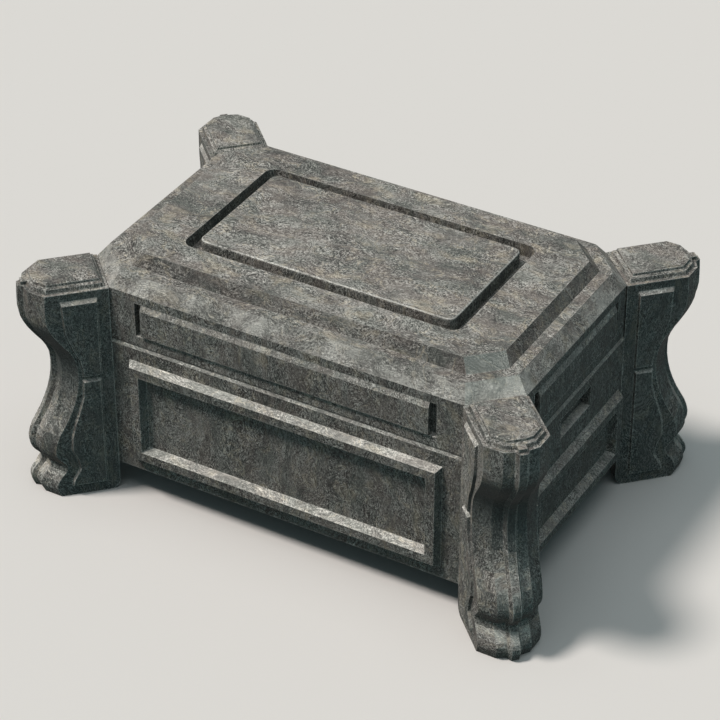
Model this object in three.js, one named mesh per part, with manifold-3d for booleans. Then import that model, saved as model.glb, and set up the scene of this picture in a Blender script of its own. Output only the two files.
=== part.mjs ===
// Stone chest: a lidded coffer held between four console legs that stand on its cut corners.
// Millimetres, +Z up, length along X, front towards -Y, feet on Z = 0.
import * as THREE from 'three';
import { mergeVertices } from 'three/addons/utils/BufferGeometryUtils.js';
import Module from 'manifold-3d';

const wasm = await Module();
wasm.setup();

// Coffer
const LENGTH = 1000;
const WIDTH = 625;
const UNDERSIDE = 70;
const SEAM = 383;
const LID_BAND = 125;
const CORNER_CUT = 93;
const JOINT = 0.3;
const OVERRUN = 5;

// Base: four walls round a floor slab that is housed in them
const WALL = 70;
const FLOOR = 50;
const FLOOR_LIFT = 18;
const HOUSING = 15;
const RIM_SLOPE = { run: 4, rise: 6 };

// Raised frame and sunk field on each wall, set in from the wall's edges
const FRAME_PROUD = 16;
const FRAME_SLOPE = 9;
const FRAME_FACE = 20;
const FIELD_DEPTH = 18;
const LONG_FRAME = { side: 41, below: 28, above: 36 };
const SHORT_FRAME = { side: 13.5, below: 16, above: 124 };

// Hand hold sunk in each end wall, between the frame and the rim
const HOLD = { half: 67, height: 48, below: 29, depth: 20 };

// Lid block, as distances run in from the coffer's faces
const LID_PLAY = 0.7;
const LID_INSET = 3;
const LID_ARRIS = 1;
const CHAMFER_RUN = 29;
const CHAMFER_RISE = 32;
const LEDGE = 24;
const RISER_RUN = 18;
const RISER_RISE = 26;
const CUT_SHARES = { chamfer: 0.82, ledge: 0.67, top: 0.65 };
const TONGUE_DROP = 12;
const TONGUE_PLAY = 2;
const LID_WALL = 46;
const LID_ROOF = 63;

// Raised panel in a pocket on each side of the lid, with a sloped top that dies into the lid's face
const BAND = { long: 58, short: 32.5, below: 26, above: 19, depth: 15 };
const SLAB = { endGap: 16, lowGap: 5, proud: 5, slope: 13, quirk: 1 };

// Tablet standing in the sunk bed in the lid's top
const BED = { endMargin: 109, sideMargin: 67, radius: 24, depth: 30 };
const TABLET = { groove: 25, radius: 18, proud: 5, round: 6 };
const ROUND_STEPS = 3;
const CORNER_STEPS = 5;

// Legs: how far they reach out from the cut corners, and their nose in plan
const LEG_REACH = 135;
const NOSE = { facet: 30, facetHalf: 36, front: 35, frontHalf: 14, ridge: 46, ridgeHalf: 8.5 };
const FOOT_BEVEL = { run: 15, rise: 12 };
const LEG_LEVELS = 34;

// Outline of a leg seen from the side, as [share of reach, share of height] from the ground up
const LEG_SHARES = [
  [0.94, 0], [1, 0.043], [0.955, 0.083], [0.827, 0.128], [0.83, 0.158], [0.945, 0.195],
  [0.98, 0.24], [0.91, 0.305], [0.75, 0.385], [0.62, 0.475], [0.555, 0.565], [0.565, 0.65],
  [0.645, 0.71], [0.79, 0.763], [0.92, 0.82], [0.99, 0.885], [0.975, 1],
];

// Panels carved on a leg's sides, in the same shares
const UPPER_PANEL_SHARES = [
  [0.185, 0.591], [0.489, 0.591], [0.496, 0.626], [0.533, 0.677], [0.607, 0.717],
  [0.681, 0.772], [0.726, 0.811], [0.756, 0.965], [0.185, 0.965],
];
const LOWER_PANEL_SHARES = [
  [0.2, 0.049], [0.763, 0.049], [0.756, 0.075], [0.689, 0.108], [0.63, 0.136], [0.659, 0.181],
  [0.741, 0.232], [0.726, 0.299], [0.659, 0.368], [0.57, 0.437], [0.511, 0.492], [0.496, 0.575],
  [0.2, 0.575],
];
const PANEL = { edge: 3, proud: 6, upperSlope: 8, lowerSlope: 4 };

// Stepped cap on each leg, its steps as [share of run, share of rise]
const CAP = { margin: 7, run: 15.4, rise: 19.6 };
const CAP_SHARES = [[0, 0], [0.2, 0.45], [0.55, 0.57], [0.62, 0.86], [1, 1]];
const KEY = { half: 8.5, length: 20, height: 8 };

// Hidden metal: rim cramps, leg dowels, cap pins and tablet pins
const CRAMP = { inset: 59, half: 22, width: 10, thick: 6, leg: 20, sink: 1.5 };
const DOWEL = { radius: 9, inWall: 24, inLeg: 58, lowMargin: 120, highMargin: 58 };
const CAP_PIN = { radius: 7, inLeg: 30, inCap: 12, reach: 75 };
const TABLET_PIN = { radius: 8, inLid: 25, inTablet: 20, margin: 115 };
const PIN_SIDES = 20;

// Stone and iron finishes
const STONE = { roughness: 0.82, metalness: 0 };
const IRON = { roughness: 0.6, metalness: 0.85 };
const IRON_COLOUR = 0x4b453f;

// Sizes that follow from the ones above
const QUARTER = Math.PI / 2;
const halfLength = LENGTH / 2;
const halfWidth = WIDTH / 2;
const innerX = halfLength - WALL;
const innerY = halfWidth - WALL;
const longEnd = halfLength - CORNER_CUT;
const shortEnd = halfWidth - CORNER_CUT;
const cutX = halfLength - CORNER_CUT / 2;
const cutY = halfWidth - CORNER_CUT / 2;
const halfLeg = CORNER_CUT / Math.SQRT2;
const eave = SEAM + LID_BAND;
const chamferTop = eave + CHAMFER_RISE;
const ledgeRun = CHAMFER_RUN + LEDGE;
const topRun = ledgeRun + RISER_RUN;
const lidTop = chamferTop + RISER_RISE;
const tongueFoot = SEAM - TONGUE_DROP;
const bedX = halfLength - topRun - BED.endMargin;
const bedY = halfWidth - topRun - BED.sideMargin;
const bedFloor = lidTop - BED.depth;
const floorFoot = UNDERSIDE + FLOOR_LIFT;
const floorTop = floorFoot + FLOOR;

const CORNERS = [
  { name: 'front_right', sx: 1, sy: -1, turn: -QUARTER / 2, colour: 0x7a776e },
  { name: 'back_right', sx: 1, sy: 1, turn: QUARTER / 2, colour: 0x6f716b },
  { name: 'back_left', sx: -1, sy: 1, turn: QUARTER * 1.5, colour: 0x7b786f },
  { name: 'front_left', sx: -1, sy: -1, turn: -QUARTER * 1.5, colour: 0x696c67 },
];
const DOWELS = [
  { level: 'low', height: UNDERSIDE + DOWEL.lowMargin },
  { level: 'high', height: SEAM - DOWEL.highMargin },
];

// Skins a stack of rings that all have the same number of points
function loft(rings) {
  const count = rings[0].length;
  const top = (rings.length - 1) * count;
  const index = [];
  for (let low = 0; low < top; low += count) {
    for (let i = 0; i < count; i += 1) {
      const a = low + i;
      const b = low + ((i + 1) % count);
      index.push(a, b, b + count, a, b + count, a + count);
    }
  }
  const flat = rings[0].map(([x, y]) => new THREE.Vector2(x, y));
  for (const [a, b, c] of THREE.ShapeUtils.triangulateShape(flat, [])) {
    index.push(c, b, a, top + a, top + b, top + c);
  }
  const geometry = new THREE.BufferGeometry();
  geometry.setAttribute('position', new THREE.Float32BufferAttribute(rings.flat(2), 3));
  geometry.setIndex(index);
  return geometry;
}

function toSolid(geometry) {
  const bare = geometry.clone();
  bare.deleteAttribute('normal');
  bare.deleteAttribute('uv');
  const merged = mergeVertices(bare);
  const vertProperties = new Float32Array(merged.attributes.position.array);
  const triVerts = new Uint32Array(merged.index.array);
  return new wasm.Manifold(new wasm.Mesh({ numProp: 3, vertProperties, triVerts }));
}

function toGeometry(solid) {
  const mesh = solid.getMesh();
  const geometry = new THREE.BufferGeometry();
  geometry.setAttribute('position', new THREE.Float32BufferAttribute(mesh.vertProperties, 3));
  geometry.setIndex(Array.from(mesh.triVerts));
  return geometry;
}

const add = (solid, ...blocks) => blocks.reduce((sum, block) => sum.add(toSolid(block)), solid);
const cut = (solid, ...blocks) => blocks.reduce((rest, block) => rest.subtract(toSolid(block)), solid);

// Rings run counter-clockwise seen from above
const lift = (outline, z) => outline.map(([x, y]) => [x, y, z]);
const rectangle = (x0, x1, y0, y1) => [[x0, y0], [x1, y0], [x1, y1], [x0, y1]];

function cutRectangle(halfX, halfY, corner) {
  const x = halfX - corner;
  const y = halfY - corner;
  return [
    [-x, -halfY], [x, -halfY], [halfX, -y], [halfX, y],
    [x, halfY], [-x, halfY], [-halfX, y], [-halfX, -y],
  ];
}

function roundedRectangle(halfX, halfY, radius) {
  const signs = [[1, -1], [1, 1], [-1, 1], [-1, -1]];
  return signs.flatMap(([sx, sy], k) => Array.from({ length: CORNER_STEPS + 1 }, (_, i) => {
    const angle = (k - 1 + i / CORNER_STEPS) * QUARTER;
    const x = sx * (halfX - radius) + radius * Math.cos(angle);
    const y = sy * (halfY - radius) + radius * Math.sin(angle);
    return [x, y];
  }));
}

// Moves an outline's edges inwards by one distance and keeps its corners sharp
function inset(outline, distance) {
  const count = outline.length;
  const edge = (i) => {
    const [from, to] = [outline[i % count], outline[(i + 1) % count]];
    return new THREE.Vector2(to[0] - from[0], to[1] - from[1]).normalize();
  };
  return outline.map(([x, y], i) => {
    const sum = edge(i + count - 1).add(edge(i));
    const reach = (2 * distance) / sum.lengthSq();
    return [x - sum.y * reach, y + sum.x * reach];
  });
}

const prism = (outline, z0, z1) => loft([lift(outline, z0), lift(outline, z1)]);
const box = (x0, x1, y0, y1, z0, z1) => prism(rectangle(x0, x1, y0, y1), z0, z1);

// A bar along X with its end drawn as [y, z]
const bar = (outline, half) => prism(outline, -half, half).rotateZ(QUARTER).rotateY(QUARTER);

// A round bar along Z
function rod(radius, z0, z1) {
  const geometry = new THREE.CylinderGeometry(radius, radius, z1 - z0, PIN_SIDES);
  return geometry.rotateX(QUARTER).translate(0, 0, (z0 + z1) / 2);
}

// Stands a block that was drawn face up so that it faces -Y at a set distance
const faceFront = (geometry, distance) => geometry.rotateX(QUARTER).translate(0, -distance, 0);

// Block with sloping sides, drawn face up between a back, a shoulder and a front height
function raised({ half, low, high }, back, shoulder, front, slope) {
  const foot = rectangle(-half, half, low, high);
  return loft([lift(foot, back), lift(foot, shoulder), lift(inset(foot, slope), front)]);
}

// Pocket with sloping sides, drawn face up
function sunk({ half, low, high }, mouth, depth, slope) {
  const rim = rectangle(-half, half, low, high);
  return loft([lift(inset(rim, slope), mouth - depth), lift(rim, mouth), lift(rim, mouth + OVERRUN)]);
}

const shrink = ({ half, low, high }, by) => ({ half: half - by, low: low + by, high: high - by });

const root = new THREE.Group();
root.name = 'stone_chest';

function place(name, solid, finish, color, { x = 0, y = 0, z = 0, turn = 0 } = {}) {
  const material = new THREE.MeshStandardMaterial({ name, color, ...finish });
  const mesh = new THREE.Mesh(toGeometry(solid), material);
  mesh.geometry.computeVertexNormals();
  mesh.name = name;
  mesh.position.set(x, y, z);
  mesh.rotation.z = turn;
  root.add(mesh);
}

// Floor slab, and the housing that the walls have for it
const slabX = innerX + HOUSING - JOINT;
const slabY = innerY + HOUSING - JOINT;
place('floor_slab', toSolid(box(-slabX, slabX, -slabY, slabY, floorFoot, floorTop)), STONE, 0x7c786e);
const housingX = slabX + JOINT;
const housingY = slabY + JOINT;
const housing = box(-housingX, housingX, -housingY, housingY, floorFoot - JOINT, floorTop + JOINT);

// Cramp laid across the joint of two walls, drawn round that joint's crossing with the rim
const crampTop = SEAM - CRAMP.sink;

function cramp(play) {
  const side = CRAMP.width / 2 + play;
  const far = CRAMP.half + play;
  const near = CRAMP.half - CRAMP.thick - play;
  const foot = crampTop - CRAMP.thick - CRAMP.leg - play;
  return add(
    toSolid(box(-side, side, -far, far, crampTop - CRAMP.thick - play, crampTop)),
    box(-side, side, -far, -near, foot, crampTop),
    box(-side, side, near, far, foot, crampTop),
  );
}

const crampSide = CRAMP.width / 2 + JOINT;
const crampFar = CRAMP.half + JOINT;
const crampMouth = box(-crampSide, crampSide, -crampFar, crampFar, crampTop, SEAM + OVERRUN);
const crampPocket = toGeometry(add(cramp(JOINT), crampMouth));
const crampSpot = ({ sx, sy }) => ({ x: sx * (halfLength - CRAMP.inset), y: sy * innerY });

// Dowel through a cut corner face, drawn along +X from that face
function dowel(play) {
  return rod(DOWEL.radius + play, -DOWEL.inWall - play, DOWEL.inLeg + play).rotateY(QUARTER);
}

const cornerSpot = ({ sx, sy, turn }) => ({ x: sx * cutX, y: sy * cutY, turn });

// Wall drawn as the front one: plan, raised frame, sunk field and sloped rim
function wall(plan, distance, end, { side, below, above }) {
  const frame = { half: end - side, low: UNDERSIDE + below, high: SEAM - above };
  const field = shrink(frame, FRAME_SLOPE + FRAME_FACE);
  const far = -distance - OVERRUN;
  const near = RIM_SLOPE.run + OVERRUN - distance;
  const spare = (OVERRUN * RIM_SLOPE.rise) / RIM_SLOPE.run;
  const high = SEAM + spare;
  const slope = bar([[far, SEAM - RIM_SLOPE.rise - spare], [near, high], [far, high]], LENGTH);
  const solid = add(
    toSolid(prism(plan, UNDERSIDE, SEAM)),
    faceFront(raised(frame, -OVERRUN, 0, FRAME_PROUD, FRAME_SLOPE), distance),
  );
  return cut(solid, faceFront(sunk(field, FRAME_PROUD, FIELD_DEPTH, FRAME_SLOPE), distance), slope);
}

// Turns a wall into its place and cuts what it shares with its neighbours
function fitWall(drawn, turn) {
  let solid = cut(toSolid(toGeometry(drawn).rotateZ(turn)), housing);
  for (const corner of CORNERS) {
    const pocket = crampSpot(corner);
    const spot = cornerSpot(corner);
    solid = cut(solid, crampPocket.clone().translate(pocket.x, pocket.y, 0));
    for (const { height } of DOWELS) {
      solid = cut(solid, dowel(JOINT).rotateZ(spot.turn).translate(spot.x, spot.y, height));
    }
  }
  return solid;
}

// The long walls run through, and the short ones butt between them
const longPlan = [
  [-longEnd, -halfWidth], [longEnd, -halfWidth], [longEnd + WALL, -innerY], [-longEnd - WALL, -innerY],
];
const buttEnd = innerY - JOINT;
const buttCut = -halfLength + buttEnd - shortEnd;
const shortPlan = [
  [-shortEnd, -halfLength], [shortEnd, -halfLength], [buttEnd, buttCut],
  [buttEnd, -innerX], [-buttEnd, -innerX], [-buttEnd, buttCut],
];
const holdHigh = SEAM - HOLD.below;
const holdArea = { half: HOLD.half, low: holdHigh - HOLD.height, high: holdHigh };
const longWall = wall(longPlan, halfWidth, longEnd, LONG_FRAME);
const shortWall = cut(
  wall(shortPlan, halfLength, shortEnd, SHORT_FRAME),
  faceFront(sunk(holdArea, 0, HOLD.depth, 0), halfLength),
);
place('wall_front', fitWall(longWall, 0), STONE, 0x77736a);
place('wall_right', fitWall(shortWall, QUARTER), STONE, 0x6d6f6a);
place('wall_back', fitWall(longWall, 2 * QUARTER), STONE, 0x75716a);
place('wall_left', fitWall(shortWall, -QUARTER), STONE, 0x716f68);

// Leg, drawn reaching along +X from the cut corner face
function nose(back, reach, tip) {
  const near = [
    [back, -halfLeg], [reach, -halfLeg], [reach + NOSE.facet, -NOSE.facetHalf],
    [reach + NOSE.front, -NOSE.frontHalf], ...tip,
  ];
  return [...near, ...near.map(([u, v]) => [u, -v]).reverse()];
}

function legRing(reach, z) {
  const bevel = FOOT_BEVEL.run * Math.max(0, 1 - z / FOOT_BEVEL.rise);
  return lift(nose(JOINT + bevel, reach, [[reach + NOSE.ridge, -NOSE.ridgeHalf]]), z);
}

const onLeg = ([u, z]) => [u * LEG_REACH, z * eave];
const profile = new THREE.SplineCurve(LEG_SHARES.map(onLeg).map(([u, z]) => new THREE.Vector2(u, z)));
let leg = toSolid(loft(profile.getPoints(LEG_LEVELS).map(({ x, y }) => legRing(x, y))));

// A block drawn face up, stood on both sides of a leg
function bothSides(geometry) {
  const near = toSolid(faceFront(geometry, 0));
  return near.add(near.mirror([0, 1, 0]));
}

const PANELS = [[UPPER_PANEL_SHARES, PANEL.upperSlope], [LOWER_PANEL_SHARES, PANEL.lowerSlope]];
for (const [shares, slope] of PANELS) {
  const foot = shares.map(onLeg);
  const crest = Math.max(...foot.map(([, z]) => z)) - slope;
  const field = inset(foot, PANEL.edge).map(([u, z]) => [u, Math.min(z, crest)]);
  const slab = [lift(foot, halfLeg - OVERRUN), lift(foot, halfLeg), lift(field, halfLeg + PANEL.proud)];
  leg = leg.add(bothSides(loft(slab)));
}

const pinHole = rod(CAP_PIN.radius + JOINT, eave - CAP_PIN.inLeg - JOINT, eave + CAP_PIN.inCap + JOINT)
  .translate(CAP_PIN.reach, 0, 0);
leg = cut(leg, pinHole);
for (const { height } of DOWELS) leg = cut(leg, dowel(JOINT).translate(0, 0, height));

// Stepped cap, with a small key over the leg's ridge
const topReach = LEG_SHARES[LEG_SHARES.length - 1][0] * LEG_REACH;
const capFoot = inset(nose(JOINT, topReach, []), CAP.margin);
const capRise = CAP.rise - JOINT;
let cap = toSolid(loft(CAP_SHARES.map(
  ([run, rise]) => lift(inset(capFoot, run * CAP.run), eave + JOINT + rise * capRise),
)));
const keyTip = topReach + NOSE.ridge - CAP.margin;
const key = box(keyTip - KEY.length, keyTip, -KEY.half, KEY.half, eave + JOINT, eave + KEY.height);
cap = cut(add(cap, key), pinHole);
const capPin = toSolid(rod(CAP_PIN.radius, eave - CAP_PIN.inLeg, eave + CAP_PIN.inCap)
  .translate(CAP_PIN.reach, 0, 0));

for (const corner of CORNERS) {
  const spot = cornerSpot(corner);
  place(`leg_${corner.name}`, leg, STONE, corner.colour, spot);
  place(`cap_${corner.name}`, cap, STONE, 0x8b877d, spot);
  place(`cap_pin_${corner.name}`, capPin, IRON, IRON_COLOUR, spot);
  place(`cramp_${corner.name}`, cramp(0), IRON, IRON_COLOUR, crampSpot(corner));
  for (const { level, height } of DOWELS) {
    place(`dowel_${level}_${corner.name}`, toSolid(dowel(0)), IRON, IRON_COLOUR, { ...spot, z: height });
  }
}

// Lid block: tongue, eave, chamfer, ledge, riser and top, hollow underneath
const lidCorner = CORNER_CUT + LID_PLAY * Math.SQRT2 - 2 * LID_INSET;
const lidRing = (run, corner, z) => lift(cutRectangle(halfLength - run, halfWidth - run, corner), z);
let lid = toSolid(loft([
  lidRing(LID_INSET + LID_ARRIS, lidCorner, SEAM + JOINT),
  lidRing(LID_INSET, lidCorner, SEAM + JOINT + LID_ARRIS),
  lidRing(LID_INSET, lidCorner, eave),
  lidRing(CHAMFER_RUN, CUT_SHARES.chamfer * CORNER_CUT, chamferTop),
  lidRing(ledgeRun, CUT_SHARES.ledge * CORNER_CUT, chamferTop),
  lidRing(topRun, CUT_SHARES.top * CORNER_CUT, lidTop),
]));
const tongueX = innerX - TONGUE_PLAY;
const tongueY = innerY - TONGUE_PLAY;
const hollowX = tongueX - LID_WALL;
const hollowY = tongueY - LID_WALL;
lid = add(lid, box(-tongueX, tongueX, -tongueY, tongueY, tongueFoot, SEAM + OVERRUN));
lid = cut(lid, box(-hollowX, hollowX, -hollowY, hollowY, tongueFoot - OVERRUN, bedFloor - LID_ROOF));

// One raised panel on each side of the lid
const SIDES = [
  { half: longEnd - BAND.long, distance: halfWidth - LID_INSET, turns: [0, 2] },
  { half: shortEnd - BAND.short, distance: halfLength - LID_INSET, turns: [1, 3] },
];
for (const { half, distance, turns } of SIDES) {
  const area = { half, low: SEAM + BAND.below, high: eave - BAND.above };
  const pocket = faceFront(sunk(area, 0, BAND.depth, 0), distance);
  const low = area.low + SLAB.lowGap;
  const high = area.high + OVERRUN;
  const front = -distance - SLAB.proud;
  const back = BAND.depth + OVERRUN - distance;
  const shoulder = SLAB.quirk + (OVERRUN * (SLAB.quirk + SLAB.proud)) / SLAB.slope - distance;
  const slab = bar(
    [[front, low], [back, low], [back, high], [shoulder, high], [front, area.high - SLAB.slope]],
    half - SLAB.endGap,
  );
  for (const turn of turns) {
    const bearing = turn * QUARTER;
    lid = add(cut(lid, pocket.clone().rotateZ(bearing)), slab.clone().rotateZ(bearing));
  }
}
lid = cut(lid, prism(roundedRectangle(bedX, bedY, BED.radius), bedFloor, lidTop + OVERRUN));

// Tablet with a rounded upper edge, set on two pins
const tabletX = bedX - TABLET.groove;
const tabletY = bedY - TABLET.groove;
const tabletTop = lidTop + TABLET.proud;
const tabletRing = (run, z) => lift(roundedRectangle(tabletX - run, tabletY - run, TABLET.radius - run), z);
const tabletRings = [tabletRing(0, bedFloor + JOINT)];
for (let i = 0; i <= ROUND_STEPS; i += 1) {
  const angle = (i / ROUND_STEPS) * QUARTER;
  const run = TABLET.round * (1 - Math.cos(angle));
  tabletRings.push(tabletRing(run, tabletTop - TABLET.round * (1 - Math.sin(angle))));
}
let tablet = toSolid(loft(tabletRings));
const { radius: pinRadius, inLid, inTablet } = TABLET_PIN;
const tabletPin = toSolid(rod(pinRadius, bedFloor - inLid, bedFloor + inTablet));
const tabletHole = rod(pinRadius + JOINT, bedFloor - inLid - JOINT, bedFloor + inTablet + JOINT);
for (const [side, sign] of [['left', -1], ['right', 1]]) {
  const x = sign * (tabletX - TABLET_PIN.margin);
  const hole = tabletHole.clone().translate(x, 0, 0);
  lid = cut(lid, hole);
  tablet = cut(tablet, hole);
  place(`tablet_pin_${side}`, tabletPin, IRON, IRON_COLOUR, { x });
}
place('lid_block', lid, STONE, 0x8e8a80);
place('top_tablet', tablet, STONE, 0x918d83);

export default root;
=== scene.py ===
import math

import bpy
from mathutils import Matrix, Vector


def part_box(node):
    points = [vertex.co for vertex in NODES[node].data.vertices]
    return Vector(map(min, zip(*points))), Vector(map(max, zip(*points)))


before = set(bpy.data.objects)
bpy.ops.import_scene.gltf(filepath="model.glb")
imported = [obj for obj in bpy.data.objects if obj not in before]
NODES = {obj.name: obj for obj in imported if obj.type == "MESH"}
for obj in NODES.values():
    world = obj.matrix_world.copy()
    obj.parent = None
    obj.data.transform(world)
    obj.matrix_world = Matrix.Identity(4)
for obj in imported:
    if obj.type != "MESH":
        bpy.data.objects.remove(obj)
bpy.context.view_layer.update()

bl_info = {
    "name": "Stone Chest",
    "version": (1, 0, 0),
    "blender": (4, 5, 0),
    "location": "View3D > Sidebar > Stone Chest",
    "description": "Dresses a weathered stone chest and sets its floor, light and camera",
    "category": "Object",
}

# Levels of the joint under the lid, of the eave that the legs reach, and of the chamfer's top
CHAMFER_HEIGHT = 0.032
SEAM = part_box("wall_front")[1].z
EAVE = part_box("leg_front_right")[1].z
CHAMFER_TOP = EAVE + CHAMFER_HEIGHT

# Height of a sudden change of painted light, shade or wear, and the levels at which they change
SOFT_STEP = 0.002
JOINT_SHADE_TOP = SEAM + 0.003
SHADE_SIDE_LEDGES_DULL = SEAM - 0.053
SHADE_SIDE_LEDGES_LIGHT = SEAM - 0.013
BASE_LEDGES_END = EAVE - 0.008
LID_LEDGES_END = EAVE - 0.013

# Levels on a leg: the top of its knee, and the stretch of its waist with the darkest painted shadow
KNEE_TOP = 0.38 * EAVE
WAIST_SHADOW_FOOT = 0.72 * EAVE
WAIST_SHADOW_TOP = 0.8 * EAVE

# From which part of the bed each kind of stone was cut, and how light it is
BEDS = {
    "base": (0.0, 0.0, 0.0),
    "leg": (2.3, 1.1, 0.4),
    "cap": (0.7, 4.2, 1.9),
    "lid": (5.1, 0.3, 2.2),
    "tablet": (8.4, 3.6, 0.9),
}
LIGHTNESS = {"base": 0.92, "leg": 0.97, "cap": 0.98, "lid": 1.0, "tablet": 1.0}

# The middle of a cloud's values, and what is taken off the sums of patterns for grain and for tone
CLOUD_MIDDLE = 0.5
GRAIN_OFFSET = 2.97
TONE_OFFSET = 0.675
MOTTLING_OFFSET = 1.2

# How far a pattern is stretched along each axis on upright faces and on lying ones
UPRIGHT_STRETCH = (1.25, 1.25, 0.4)
LYING_STRETCH = (0.5, 1.0, 1.0)

# Worn edges: shares of the stone's arris, the arris of the iron, and which edges are worn or kept
CAP_ARRIS_SHARE = 0.6
TABLET_ARRIS_SHARE = 0.5
IRON_ARRIS = 0.0006
ARRIS_STEPS = 2
CREASE = math.radians(28.0)
SAME_PLANE = math.radians(0.6)

# The stage: its reach in metres, and each lamp's direction, spread in degrees and colour
FLOOR_REACH = 20.0
LAMP_REACH = 5.0
VIEW_REACH = 100.0
FILM_WIDTH = 36.0
LEFT_LAMP = {"toward": (-0.42, -0.32, 0.85), "spread": 12.0, "colour": (1.0, 0.945, 0.895)}
TOP_LAMP = {"toward": (0.06, -0.10, 0.99), "spread": 50.0, "colour": (0.93, 0.98, 1.0)}
SKY_COLOUR = (0.66, 0.94, 1.0)


def named(*starts):
    """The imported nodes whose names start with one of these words."""
    return [NODES[name] for name in sorted(NODES) if name.startswith(starts)]


# Sizes and colours that a user would change

class StoneLook(bpy.types.PropertyGroup):
    """Sizes of the patterns in the stone, and its colours"""
    arris: bpy.props.FloatProperty(
        name="Arris", description="Width of the worn edge on every stone",
        default=0.0016, min=0.0, unit="LENGTH")
    patch: bpy.props.FloatProperty(
        name="Patch", description="Size of the cloudy patches in the stone",
        default=0.16, min=0.01, unit="LENGTH")
    mottle: bpy.props.FloatProperty(
        name="Mottle", description="Size of the mottling inside a patch",
        default=0.028, min=0.002, unit="LENGTH")
    streak: bpy.props.FloatProperty(
        name="Streak", description="Width of the streaks",
        default=0.0055, min=0.0005, unit="LENGTH")
    hair: bpy.props.FloatProperty(
        name="Hair", description="Width of the finest streaks",
        default=0.0026, min=0.0005, unit="LENGTH")
    grit: bpy.props.FloatProperty(
        name="Grit", description="Size of the single grains",
        default=0.0028, min=0.0002, unit="LENGTH")
    squiggle: bpy.props.FloatProperty(
        name="Squiggle", description="Size of the loops that the pale and dark squiggles make",
        default=0.0062, min=0.001, unit="LENGTH")
    dark: bpy.props.FloatVectorProperty(
        name="Dark", description="Colour of the dark parts of the stone",
        subtype="COLOR", default=(0.082, 0.080, 0.076))
    middle: bpy.props.FloatVectorProperty(
        name="Middle", description="Colour that most of the stone has",
        subtype="COLOR", default=(0.200, 0.193, 0.179))
    pale: bpy.props.FloatVectorProperty(
        name="Pale", description="Colour of the pale parts of the stone",
        subtype="COLOR", default=(0.43, 0.415, 0.385))
    worn: bpy.props.FloatVectorProperty(
        name="Worn", description="Colour of edges and ledges that have been rubbed",
        subtype="COLOR", default=(0.45, 0.44, 0.41))
    cream: bpy.props.FloatVectorProperty(
        name="Cream", description="Colour of the cream veins and blooms",
        subtype="COLOR", default=(0.56, 0.49, 0.375))
    moss: bpy.props.FloatVectorProperty(
        name="Moss", description="Green grey that tints some patches",
        subtype="COLOR", default=(0.145, 0.178, 0.158))
    rose: bpy.props.FloatVectorProperty(
        name="Rose", description="Pink grey that tints other patches",
        subtype="COLOR", default=(0.26, 0.222, 0.197))
    # Painted highlight: the cool pale colour of the lit lid corners and of the knee spots
    skin: bpy.props.FloatVectorProperty(
        name="Skin", description="Cool pale colour of two corners of the lid and of spots on the knees",
        subtype="COLOR", default=(0.335, 0.395, 0.37))
    # Painted shade: the blue green that darkens the legs' waists and the faces toward +X
    painted_shade_teal: bpy.props.FloatVectorProperty(
        name="Damp", description="Blue green of the legs' waists and of faces that stay damp",
        subtype="COLOR", default=(0.142, 0.208, 0.208))
    # Painted shade: the dark colour put in corners and joints
    corner_shade: bpy.props.FloatVectorProperty(
        name="Dirt", description="Colour of what has gathered in corners and joints",
        subtype="COLOR", default=(0.022, 0.027, 0.027))


class IronLook(bpy.types.PropertyGroup):
    """Colours of the ironwork"""
    scale: bpy.props.FloatVectorProperty(
        name="Scale", description="Colour of the forge scale on the iron",
        subtype="COLOR", default=(0.045, 0.042, 0.04))
    rust: bpy.props.FloatVectorProperty(
        name="Rust", description="Colour of the rust on the iron",
        subtype="COLOR", default=(0.2, 0.085, 0.035))


class StageLook(bpy.types.PropertyGroup):
    """Place of the camera, colours of the floor and strengths of the lights"""
    azimuth: bpy.props.FloatProperty(
        name="Azimuth", description="Turn of the camera to the right of the front",
        default=math.radians(30.0), subtype="ANGLE")
    elevation: bpy.props.FloatProperty(
        name="Elevation", description="Height of the camera above the horizon",
        default=math.radians(35.0), subtype="ANGLE")
    distance: bpy.props.FloatProperty(
        name="Distance", description="From the camera to the point it looks at",
        default=5.7966, unit="LENGTH")
    aim: bpy.props.FloatProperty(
        name="Aim", description="Height of the point that the camera looks at",
        default=0.2833, unit="LENGTH")
    lens: bpy.props.FloatProperty(
        name="Lens", description="Focal length for a 36 mm wide film",
        default=138.56, unit="CAMERA")
    floor: bpy.props.FloatVectorProperty(
        name="Floor", description="Colour of the floor and of the backdrop",
        subtype="COLOR", default=(0.82, 0.79, 0.765))
    bounce: bpy.props.FloatVectorProperty(
        name="Bounce", description="Colour of the light that the floor throws back",
        subtype="COLOR", default=(0.055, 0.108, 0.115))
    key: bpy.props.FloatProperty(
        name="Key", description="Strength of the lamp on the left", default=2.2, min=0.0)
    top: bpy.props.FloatProperty(
        name="Top", description="Strength of the soft lamp overhead", default=0.6, min=0.0)
    sky: bpy.props.FloatProperty(
        name="Sky", description="Strength of the light from all round", default=0.14, min=0.0)


# Shader maths: a wrapped socket that adds its own nodes

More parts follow.
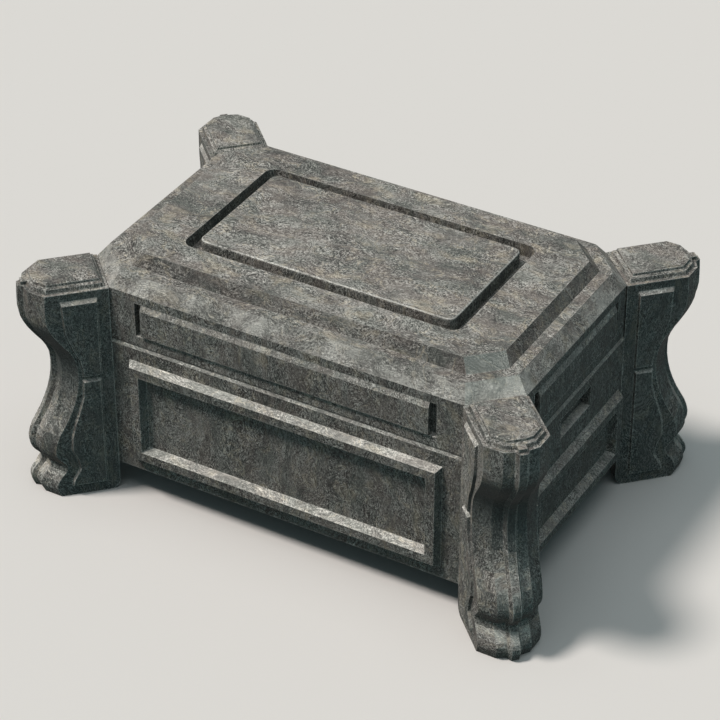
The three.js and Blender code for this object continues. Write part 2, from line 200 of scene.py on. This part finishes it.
class Flow:
    """A value, colour or vector on its way through a material."""

    def __init__(self, sheet, socket):
        self.sheet = sheet
        self.socket = socket

    def maths(self, operation, first, second):
        """One Math node on two numbers or flows of numbers."""
        return self.sheet.node(
            "ShaderNodeMath", {"operation": operation}, {0: first, 1: second})

    def __add__(self, other):
        return self.maths("ADD", self, other)

    def __sub__(self, other):
        return self.maths("SUBTRACT", self, other)

    def __rsub__(self, other):
        return self.maths("SUBTRACT", other, self)

    def __mul__(self, other):
        return self.maths("MULTIPLY", self, other)

    __radd__ = __add__
    __rmul__ = __mul__

    def ramp(self, low, high):
        """0 below low, 1 above high and a soft step between them."""
        settings = {"interpolation_type": "SMOOTHSTEP"}
        return self.sheet.node("ShaderNodeMapRange", settings, {0: self, 1: low, 2: high})

    def step(self, level):
        """0 below a level and 1 just above it."""
        return self.ramp(level, level + SOFT_STEP)

    def between(self, first, last):
        """The first number where this is 0, the last where it is 1, and a share of both between."""
        return first + (last - first) * self

    def most(self, other):
        """The larger of two numbers."""
        return self.maths("MAXIMUM", self, other)

    def size(self):
        """A number without its sign."""
        return self.maths("ABSOLUTE", self, 0.0)

    def part(self, axis):
        """One coordinate of a vector: X, Y or Z."""
        return self.sheet.node("ShaderNodeSeparateXYZ", {}, {0: self}, axis)

    def dot(self, other):
        """How far two directions agree."""
        return self.sheet.node(
            "ShaderNodeVectorMath", {"operation": "DOT_PRODUCT"}, {0: self, 1: other}, "Value")

    def moved(self, other):
        """A vector with another added."""
        return self.sheet.node("ShaderNodeVectorMath", {"operation": "ADD"}, {0: self, 1: other})

    def spread(self, other):
        """A vector with each coordinate multiplied."""
        return self.sheet.node(
            "ShaderNodeVectorMath", {"operation": "MULTIPLY"}, {0: self, 1: other})

    def toward(self, other, share):
        """This colour mixed with another one."""
        inputs = {0: share, 6: self, 7: other}
        return self.sheet.node("ShaderNodeMix", {"data_type": "RGBA"}, inputs, 2)


class Sheet:
    """The nodes of one material or world, and the one way in which they are made."""

    def __init__(self, owner):
        self.owner = owner
        owner.use_nodes = True
        self.tree = owner.node_tree
        self.tree.nodes.clear()

    def node(self, kind, settings, inputs, out=0):
        """Adds a node, its settings first, then its inputs' values or links."""
        made = self.tree.nodes.new(kind)
        for key, value in settings.items():
            if key == "stops":
                self.set_stops(made.color_ramp, value)
            else:
                setattr(made, key, value)
        for key, value in inputs.items():
            if isinstance(value, Flow):
                self.tree.links.new(value.socket, made.inputs[key])
            elif hasattr(value, "__len__") and made.inputs[key].type == "RGBA":
                made.inputs[key].default_value = (*value[:3], 1.0)
            else:
                made.inputs[key].default_value = value
        return Flow(self, made.outputs[out]) if made.outputs else made

    @staticmethod
    def set_stops(ramp, stops):
        """Gives a colour ramp its stops, each a place and a colour."""
        while len(ramp.elements) < len(stops):
            ramp.elements.new(0.5)
        for element, (place, colour) in zip(ramp.elements, stops):
            element.position = place
            element.color = (*colour[:3], 1.0)

    def where(self):
        """Place on the piece, in metres."""
        return self.node("ShaderNodeTexCoord", {}, {}, "Object")

    def facing(self):
        """Direction in which the surface faces."""
        return self.node("ShaderNodeNewGeometry", {}, {}, "Normal")

    def cloud(self, place, size, detail, rough, apart=None, out=0):
        """Soft noise with lumps of a set size; apart takes it from elsewhere in the same noise."""
        place = place.moved(apart) if apart else place
        inputs = {"Vector": place, "Scale": 1.0 / size, "Detail": detail, "Roughness": rough}
        return self.node("ShaderNodeTexNoise", {}, inputs, out)

    def thread(self, place, size, width, apart):
        """1 along thin winding lines, 0 between them."""
        cloud = self.cloud(place, size, detail=3.0, rough=0.6, apart=apart)
        return 1.0 - (cloud - CLOUD_MIDDLE).size().ramp(low=0.0, high=width)

    def finish(self, colour, roughness, height, relief, specular, metallic):
        """Joins colour, roughness and relief in the surface shader."""
        bump = self.node(
            "ShaderNodeBump", {}, {"Strength": 0.9, "Distance": relief, "Height": height})
        surface = self.node("ShaderNodeBsdfPrincipled", {}, {
            "Base Color": colour, "Roughness": roughness, "Metallic": metallic, "Normal": bump,
            "Specular IOR Level": specular})
        self.node("ShaderNodeOutputMaterial", {}, {"Surface": surface})
        return self.owner


class Stone:
    """Grey mottled stone of one kind, which gathers colour, painted light and shade, and wear step by
    step.
    """

    def __init__(self, kind, look):
        self.kind = kind
        self.look = look
        self.sheet = Sheet(bpy.data.materials.new(f"{kind} stone"))
        self.here = self.sheet.where()
        self.height = self.here.part("Z")
        self.facing = self.sheet.facing()
        self.across = self.facing.part("X")
        self.along = self.facing.part("Y")
        self.up = self.facing.part("Z")
        self.light = 1.0
        self.worn = 0.0
        self.smooth = 0.0
        self.read_faces()
        self.lay_bed()
        self.draw_patterns()
        self.draw_grain()
        self.lay_colours()
        self.lay_cream()
        self.paint_shade_side()

    def mixed(self, **shares):
        """The sum of this stone's patterns, each by its share."""
        return sum(getattr(self, pattern) * share for pattern, share in shares.items())

    def tinge(self, colour, where, most):
        """Mixes in a colour where a mask says, at most by a share."""
        self.colour = self.colour.toward(colour, where * most)

    def lighten(self, where, by):
        """Makes the stone lighter where a mask says, or darker where by is negative."""
        self.light = self.light * (1.0 + where * by)

    def rub(self, where, by):
        """Wears the surface where a mask says."""
        self.worn = self.worn + where * by

    def polish(self, where, by):
        """Takes away grain where a mask says."""
        self.smooth = (where * by).most(self.smooth)

    def read_faces(self):
        """Masks for the way in which a face turns."""
        self.lying = self.up.size().ramp(low=0.3, high=0.6)
        self.rising = self.up.ramp(low=0.15, high=0.6)
        self.upright = 1.0 - self.rising
        self.slope = self.rising * (1.0 - self.up.ramp(low=0.85, high=0.97))
        aside = self.along.size().ramp(low=0.1, high=0.3)
        # The side toward +X, which gets painted shade and weaker painted highlights
        self.shade_side = self.across.ramp(low=0.2, high=0.5) * (1.0 - aside)
        self.shady = self.shade_side * self.upright

    def eddy(self, size, reach):
        """A shift that turns slowly from place to place."""
        cloud = self.sheet.cloud(self.place, size, detail=2.0, rough=0.5, out="Color")
        return cloud.moved((-CLOUD_MIDDLE,) * 3).spread((reach,) * 3)

    def lay_bed(self):
        """The places at which patterns are drawn: plain, bent, and bent and stretched."""
        self.place = self.here.moved(BEDS[self.kind])
        self.bent = self.place.moved(self.eddy(size=0.12, reach=0.09))
        pairs = enumerate(zip(UPRIGHT_STRETCH, LYING_STRETCH))
        axes = {axis: self.lying.between(*pair) for axis, pair in pairs}
        stretch = self.sheet.node("ShaderNodeCombineXYZ", {}, axes)
        self.grown = self.bent.moved(self.eddy(size=0.021, reach=0.012)).spread(stretch)

    def draw_patterns(self):
        """The patterns in the stone, from the widest to the thinnest."""
        look, grown, cloud, thread = self.look, self.grown, self.sheet.cloud, self.sheet.thread
        self.patch = cloud(self.bent, look.patch, detail=4.0, rough=0.55)
        self.mottle = cloud(grown, look.mottle, detail=5.0, rough=0.65)
        self.streak = cloud(grown, look.streak, detail=3.0, rough=0.7)
        self.hair = cloud(grown, look.hair, detail=2.0, rough=0.6, apart=(4.0, 9.0, 2.0))
        self.grit = cloud(self.place, look.grit, detail=2.0, rough=0.7)
        self.squiggle = thread(grown, look.squiggle, width=0.08, apart=(5.0, 2.0, 9.0))
        self.gloom = thread(grown, look.squiggle, width=0.06, apart=(1.0, 8.0, 3.0))

    def draw_grain(self):
        """The fine grain, which is stronger in some spots and on upright faces."""
        fine = self.mixed(streak=1.1, hair=2.6, grit=2.0, squiggle=0.5, gloom=-0.18) - GRAIN_OFFSET
        spot = self.sheet.cloud(self.grown, size=0.045, detail=3.0, rough=0.6, apart=(7.0, 1.0, 3.0))
        strength = spot.ramp(low=0.36, high=0.64).between(first=0.7, last=1.6)
        self.grain = fine * strength * self.lying.between(first=1.3, last=1.0)

    def lay_colours(self):
        """Dark to pale by tone, tinted green grey in some patches and pink grey in others."""
        look = self.look
        tone = self.mixed(patch=1.0, mottle=1.35, grain=0.45) - TONE_OFFSET
        stops = [(0.14, look.dark), (0.5, look.middle), (0.88, look.pale)]
        self.colour = self.sheet.node("ShaderNodeValToRGB", {"stops": stops}, {"Fac": tone}, "Color")
        drift = self.sheet.cloud(self.grown, size=0.05, detail=3.0, rough=0.6, apart=(3.0, 7.0, 1.0))
        self.tinge(look.moss, (1.0 - drift).ramp(low=0.48, high=0.64), most=0.28)
        self.tinge(look.rose, drift.ramp(low=0.48, high=0.64), most=0.42)

    def lay_cream(self):
        """Cream in winding veins and in soft blooms, half as strong or less."""
        vein_share, bloom_share = 0.5, 0.42
        vein = self.sheet.thread(self.bent, size=0.085, width=0.02, apart=(11.0, 2.0, 5.0))
        vein = vein * self.mottle.ramp(low=0.42, high=0.55) * self.streak.ramp(low=0.3, high=0.55)
        bloom = self.sheet.cloud(self.grown, size=0.035, detail=4.0, rough=0.6, apart=(1.0, 5.0, 8.0))
        bloom = bloom.ramp(low=0.54, high=0.7)
        creamy = (vein * vein_share).most(bloom * bloom_share)
        self.colour = self.colour.toward(self.look.cream, creamy)

    def paint_shade_side(self):
        """Painted shade: faces toward +X are darker and tinted blue green, and more mottled."""
        self.lighten(self.shady, by=-0.36)
        self.lighten(self.shady, by=self.mixed(mottle=1.6, streak=0.8) - MOTTLING_OFFSET)
        painted_shade_teal = self.across.ramp(low=0.35, high=0.95) * self.upright
        self.tinge(self.look.painted_shade_teal, painted_shade_teal, most=0.5)

    def light_and_wear_ledges(self, below):
        """Ledges below a level get a painted highlight and are rubbed and smooth; low on the +X side
        the highlight is weaker, a painted shade.
        """
        streak_gain, shade_side_loss = 0.35, 0.65
        low = 1.0 - self.height.ramp(low=SHADE_SIDE_LEDGES_DULL, high=SHADE_SIDE_LEDGES_LIGHT)
        ledge = self.rising * (1.0 - self.height.step(below)) * (1.0 - shade_side_loss * self.shade_side * low)
        gain = self.mottle.between(first=0.2, last=0.95)
        gain = gain + streak_gain * self.streak.ramp(low=0.4, high=0.6)
        self.lighten(ledge, by=gain)
        self.rub(ledge, by=0.3)
        self.polish(ledge, by=0.4)

    def light_and_rub_rim(self):
        """A rounded rim gets a painted highlight, and is rubbed where the mottling is pale."""
        self.lighten(self.slope, by=0.55)
        self.rub(self.slope * self.mottle.ramp(low=0.25, high=0.5), by=0.7)

    def shade_joint(self):
        """Painted shade: the lowest strip of the lid, at the joint, is half as light."""
        self.light = self.light * self.height.step(JOINT_SHADE_TOP).between(first=0.5, last=1.0)

    def paint_waist_shadow(self):
        """Painted shadow: the outward faces of a leg are darkened and tinted blue green at its waist,
        under its head.
        """
        depth_share, fade = 1.5, 0.03
        outward = self.here.part("X") * self.across + depth_share * self.here.part("Y") * self.along
        self.outward = outward.ramp(low=0.15, high=0.45)
        above_waist = self.height.ramp(low=WAIST_SHADOW_TOP, high=WAIST_SHADOW_TOP + fade)
        waist = self.height.ramp(low=KNEE_TOP, high=WAIST_SHADOW_FOOT) * (1.0 - above_waist)
        self.lighten(waist * self.outward, by=-0.62)
        self.tinge(self.look.painted_shade_teal, waist * self.outward, most=0.6)

    def paint_knee_highlights(self):
        """Painted highlight: cool pale spots on the outward faces of a knee that turn toward +X."""
        fade = 0.05
        spot = self.sheet.cloud(self.bent, size=0.03, detail=2.0, rough=0.5, apart=(6.0, 3.0, 2.0))
        spot = spot.ramp(low=0.5, high=0.58)
        knee = 1.0 - self.height.ramp(low=KNEE_TOP, high=KNEE_TOP + fade)
        facet = knee * self.outward * self.across.ramp(low=0.0, high=0.5)
        self.tinge(self.look.skin, spot * facet, most=0.35)

    def weather_chamfer_and_shade_riser(self):
        """Stains have rubbed and smoothed the chamfer and made it lighter or darker, its paleness
        partly a painted highlight, and the riser above it has a painted shade.
        """
        stain = self.sheet.cloud(self.bent, size=0.075, detail=3.0, rough=0.6, apart=(2.0, 6.0, 4.0))
        stain = stain.ramp(low=0.36, high=0.62)
        above = self.height.step(CHAMFER_TOP - SOFT_STEP)
        chamfer = self.slope * self.height.step(EAVE - SOFT_STEP) * (1.0 - above)
        self.rub(chamfer, by=stain.between(first=0.15, last=0.65))
        self.lighten(chamfer, by=stain.between(first=-0.14, last=0.26))
        self.lighten(self.slope * above, by=-0.22)
        self.polish(chamfer * stain, by=0.3)

    def paint_corner_light(self):
        """Painted light: slopes on the front right and back left corners are lighter, cool, pale and
        smooth.
        """
        corner = (0.0 - self.across * self.along).ramp(low=0.1, high=0.2) * self.slope
        self.lighten(corner, by=0.36)
        self.polish(corner, by=0.55)
        self.tinge(self.look.skin, corner, most=0.36)

    def paint_corner_shade(self):
        """Painted shade: corners and joints are darkened."""
        settings = {"samples": 4, "only_local": False}
        self.open = self.sheet.node("ShaderNodeAmbientOcclusion", settings, {"Distance": 0.012}, "AO")
        corner = (1.0 - self.open).ramp(low=0.6, high=1.0)
        self.tinge(self.look.corner_shade, corner * self.mottle.between(first=0.6, last=1.2), most=0.5)

    def rub_and_light_edges(self):
        """Open edges are rubbed, and the upright ones get a painted highlight, most of all toward +X.
        """
        soft = self.sheet.node("ShaderNodeBevel", {"samples": 4}, {"Radius": 0.0035})
        edge = (1.0 - soft.dot(self.facing)).ramp(low=0.015, high=0.12)
        edge = edge * self.open.ramp(low=0.35, high=0.65)
        self.tinge(self.look.worn, edge * self.mottle.ramp(low=0.25, high=0.6), most=0.85)
        gain = self.across.ramp(low=0.3, high=0.7).between(first=0.35, last=1.65)
        self.lighten(edge * self.upright, by=gain)

    def painted_light_and_grain(self):
        """How light the stone is: painted shade on faces turned down, painted light on faces turned up,
        its light so far and its grain.
        """
        under = self.up.ramp(low=-0.6, high=0.05).between(first=0.35, last=1.0)
        over = self.up.ramp(low=0.5, high=0.7).between(first=0.82, last=1.02)
        strength = self.shady.between(first=0.55, last=1.0) * (1.0 - self.smooth)
        least_glint = 0.3
        glint = (1.0 + strength * self.grain).most(least_glint)
        return over * under * self.light * glint * LIGHTNESS[self.kind]

    def finished(self):
        """The material, once wear, painted shade in corners, rubbed and lit edges and relief are on it.
        """
        least_roughness = 0.72
        self.colour = self.colour.toward(self.look.worn, self.worn)
        self.paint_corner_shade()
        self.rub_and_light_edges()
        inputs = {"Value": self.painted_light_and_grain(), "Color": self.colour}
        colour = self.sheet.node("ShaderNodeHueSaturation", {}, inputs)
        roughness = self.mixed(mottle=0.2, streak=0.1) + least_roughness
        height = self.mixed(streak=0.5, mottle=0.6, grit=0.4, patch=0.3, squiggle=0.2)
        return self.sheet.finish(
            colour, roughness, height, relief=0.0022, specular=0.35, metallic=0.0)


def forged_iron(look):
    """Forged iron with scale and rust."""
    sheet = Sheet(bpy.data.materials.new("forged iron"))
    place = sheet.where()
    rust = sheet.cloud(place, size=0.012, detail=5.0, rough=0.65)
    grain = sheet.cloud(place, size=0.002, detail=3.0, rough=0.6)
    stops = [(0.38, look.scale), (0.62, look.rust)]
    colour = sheet.node(
        "ShaderNodeValToRGB", {"stops": stops}, {"Fac": rust * 0.8 + grain * 0.2}, "Color")
    roughness = rust.between(first=0.5, last=0.9)
    height = rust * 0.6 + grain * 0.4
    return sheet.finish(colour, roughness, height, relief=0.0006, specular=0.5, metallic=0.6)


def dress(piece, material, arris):
    """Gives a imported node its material, clean shading and a worn edge."""
    mesh = piece.data
    mesh.materials.clear()
    mesh.materials.append(material)
    mesh.shade_smooth()
    mesh.set_sharp_from_angle(angle=CREASE)
    flat = piece.modifiers.new("Flat faces", "DECIMATE")
    flat.decimate_type = "DISSOLVE"
    flat.angle_limit = SAME_PLANE
    edge = piece.modifiers.new("Worn edge", "BEVEL")
    edge.width = arris
    edge.segments = ARRIS_STEPS
    edge.limit_method = "ANGLE"
    edge.angle_limit = CREASE
    edge.use_clamp_overlap = True
    edge.harden_normals = True


# One operator for each group of like pieces, and one for the stage

class CHEST_OT_base(bpy.types.Operator):
    """Dress the walls and the floor slab"""
    bl_idname = "chest.base"
    bl_label = "Base Stones"

    def execute(self, context):
        look = context.scene.chest_stone
        stone = Stone("base", look)
        stone.light_and_wear_ledges(below=BASE_LEDGES_END)
        material = stone.finished()
        for piece in named("wall_", "floor_"):
            dress(piece, material, look.arris)
        return {"FINISHED"}


class CHEST_OT_legs(bpy.types.Operator):
    """Dress the four console legs"""
    bl_idname = "chest.legs"
    bl_label = "Legs"

    def execute(self, context):
        look = context.scene.chest_stone
        stone = Stone("leg", look)
        stone.light_and_wear_ledges(below=BASE_LEDGES_END)
        stone.paint_waist_shadow()
        stone.paint_knee_highlights()
        material = stone.finished()
        for piece in named("leg_"):
            dress(piece, material, look.arris)
        return {"FINISHED"}


class CHEST_OT_caps(bpy.types.Operator):
    """Dress the stepped caps"""
    bl_idname = "chest.caps"
    bl_label = "Caps"

    def execute(self, context):
        look = context.scene.chest_stone
        material = Stone("cap", look).finished()
        for piece in named("cap_front", "cap_back"):
            dress(piece, material, CAP_ARRIS_SHARE * look.arris)
        return {"FINISHED"}


class CHEST_OT_lid(bpy.types.Operator):
    """Dress the lid block"""
    bl_idname = "chest.lid"
    bl_label = "Lid Block"

    def execute(self, context):
        look = context.scene.chest_stone
        stone = Stone("lid", look)
        stone.light_and_wear_ledges(below=LID_LEDGES_END)
        stone.shade_joint()
        stone.weather_chamfer_and_shade_riser()
        stone.paint_corner_light()
        dress(NODES["lid_block"], stone.finished(), look.arris)
        return {"FINISHED"}


class CHEST_OT_tablet(bpy.types.Operator):
    """Dress the tablet that stands in the lid"""
    bl_idname = "chest.tablet"
    bl_label = "Tablet"

    def execute(self, context):
        look = context.scene.chest_stone
        stone = Stone("tablet", look)
        stone.light_and_rub_rim()
        dress(NODES["top_tablet"], stone.finished(), TABLET_ARRIS_SHARE * look.arris)
        return {"FINISHED"}


class CHEST_OT_ironwork(bpy.types.Operator):
    """Dress the dowels, pins and cramps"""
    bl_idname = "chest.ironwork"
    bl_label = "Ironwork"

    def execute(self, context):
        material = forged_iron(context.scene.chest_iron)
        for piece in named("dowel_", "cap_pin_", "cramp_", "tablet_pin_"):
            dress(piece, material, IRON_ARRIS)
        return {"FINISHED"}


class CHEST_OT_stage(bpy.types.Operator):
    """Lay the floor, light the chest and stand the camera"""
    bl_idname = "chest.stage"
    bl_label = "Stage"

    def execute(self, context):
        look = context.scene.chest_stage
        self.lay_floor(context, look)
        self.hang(context, "left lamp", look.key, **LEFT_LAMP)
        self.hang(context, "top lamp", look.top, **TOP_LAMP)
        self.open_sky(context, look)
        self.stand_camera(context, look)
        context.scene.view_settings.view_transform = "Standard"
        return {"FINISHED"}

    def lay_floor(self, context, look):
        """A wide plain floor that throws back less light than it shows."""
        mesh = bpy.data.meshes.new("floor")
        sides = ((-1, -1), (1, -1), (1, 1), (-1, 1))
        corners = [(x * FLOOR_REACH, y * FLOOR_REACH, 0.0) for x, y in sides]
        mesh.from_pydata(corners, [], [(0, 1, 2, 3)])
        sheet = Sheet(bpy.data.materials.new("floor"))
        seen = seen_ray(sheet)
        shown = sheet.node("ShaderNodeBsdfDiffuse", {}, {"Color": look.floor})
        thrown = sheet.node("ShaderNodeBsdfDiffuse", {}, {"Color": look.bounce})
        surface = sheet.node("ShaderNodeMixShader", {}, {0: seen, 1: thrown, 2: shown})
        sheet.node("ShaderNodeOutputMaterial", {}, {"Surface": surface})
        mesh.materials.append(sheet.owner)
        floor = bpy.data.objects.new("floor", mesh)
        context.scene.collection.objects.link(floor)

    def hang(self, context, name, strength, toward, spread, colour):
        """A far lamp that shines from one direction."""
        lamp = bpy.data.lights.new(name, "SUN")
        lamp.energy = strength
        lamp.angle = math.radians(spread)
        lamp.color = colour
        holder = bpy.data.objects.new(name, lamp)
        holder.location = Vector(toward) * LAMP_REACH
        holder.rotation_euler = Vector(toward).to_track_quat("Z", "Y").to_euler()
        context.scene.collection.objects.link(holder)

    def open_sky(self, context, look):
        """An even cool sky that shows the floor's colour."""
        sheet = Sheet(bpy.data.worlds.new("studio"))
        context.scene.world = sheet.owner
        seen = seen_ray(sheet)
        shown = sheet.node("ShaderNodeBackground", {}, {"Color": look.floor, "Strength": 1.0})
        given = sheet.node("ShaderNodeBackground", {}, {"Color": SKY_COLOUR, "Strength": look.sky})
        surface = sheet.node("ShaderNodeMixShader", {}, {0: seen, 1: given, 2: shown})
        sheet.node("ShaderNodeOutputWorld", {}, {"Surface": surface})

    def stand_camera(self, context, look):
        """A camera to the right of the front that looks down on the chest."""
        level = math.cos(look.elevation)
        away = Vector((
            math.sin(look.azimuth) * level, -math.cos(look.azimuth) * level, math.sin(look.elevation)))
        data = bpy.data.cameras.new("camera")
        data.sensor_width = FILM_WIDTH
        data.lens = look.lens
        data.clip_end = VIEW_REACH
        camera = bpy.data.objects.new("camera", data)
        camera.location = Vector((0.0, 0.0, look.aim)) + away * look.distance
        camera.rotation_euler = away.to_track_quat("Z", "Y").to_euler()
        context.scene.collection.objects.link(camera)
        context.scene.camera = camera


def seen_ray(sheet):
    """1 for what the camera, a reflection or a clear surface shows."""
    ray = sheet.node("ShaderNodeLightPath", {}, {}, "Is Camera Ray")
    outputs = ray.socket.node.outputs
    glossy = Flow(sheet, outputs["Is Glossy Ray"])
    clear = Flow(sheet, outputs["Is Transmission Ray"])
    return ray.most(glossy).most(clear)


STEPS = (
    CHEST_OT_base, CHEST_OT_legs, CHEST_OT_caps, CHEST_OT_lid, CHEST_OT_tablet,
    CHEST_OT_ironwork, CHEST_OT_stage,
)


class CHEST_PT_panel(bpy.types.Panel):
    """Lists the steps and their sizes and colours"""
    bl_idname = "CHEST_PT_panel"
    bl_label = "Stone Chest"
    bl_space_type = "VIEW_3D"
    bl_region_type = "UI"
    bl_category = "Stone Chest"

    def draw(self, context):
        for step in STEPS:
            self.layout.operator(step.bl_idname)
        for group in (context.scene.chest_stone, context.scene.chest_iron, context.scene.chest_stage):
            column = self.layout.column()
            for key in group.__annotations__:
                column.prop(group, key)


CLASSES = (StoneLook, IronLook, StageLook, *STEPS, CHEST_PT_panel)


def register():
    """Adds the classes and the settings that they use."""
    for each in CLASSES:
        bpy.utils.register_class(each)
    bpy.types.Scene.chest_stone = bpy.props.PointerProperty(type=StoneLook)
    bpy.types.Scene.chest_iron = bpy.props.PointerProperty(type=IronLook)
    bpy.types.Scene.chest_stage = bpy.props.PointerProperty(type=StageLook)


def unregister():
    """Takes them away again."""
    del bpy.types.Scene.chest_stage
    del bpy.types.Scene.chest_iron
    del bpy.types.Scene.chest_stone
    for each in reversed(CLASSES):
        bpy.utils.unregister_class(each)


def main():
    register()
    bpy.ops.chest.base()
    bpy.ops.chest.legs()
    bpy.ops.chest.caps()
    bpy.ops.chest.lid()
    bpy.ops.chest.tablet()
    bpy.ops.chest.ironwork()
    bpy.ops.chest.stage()


if __name__ == "__main__":
    main()
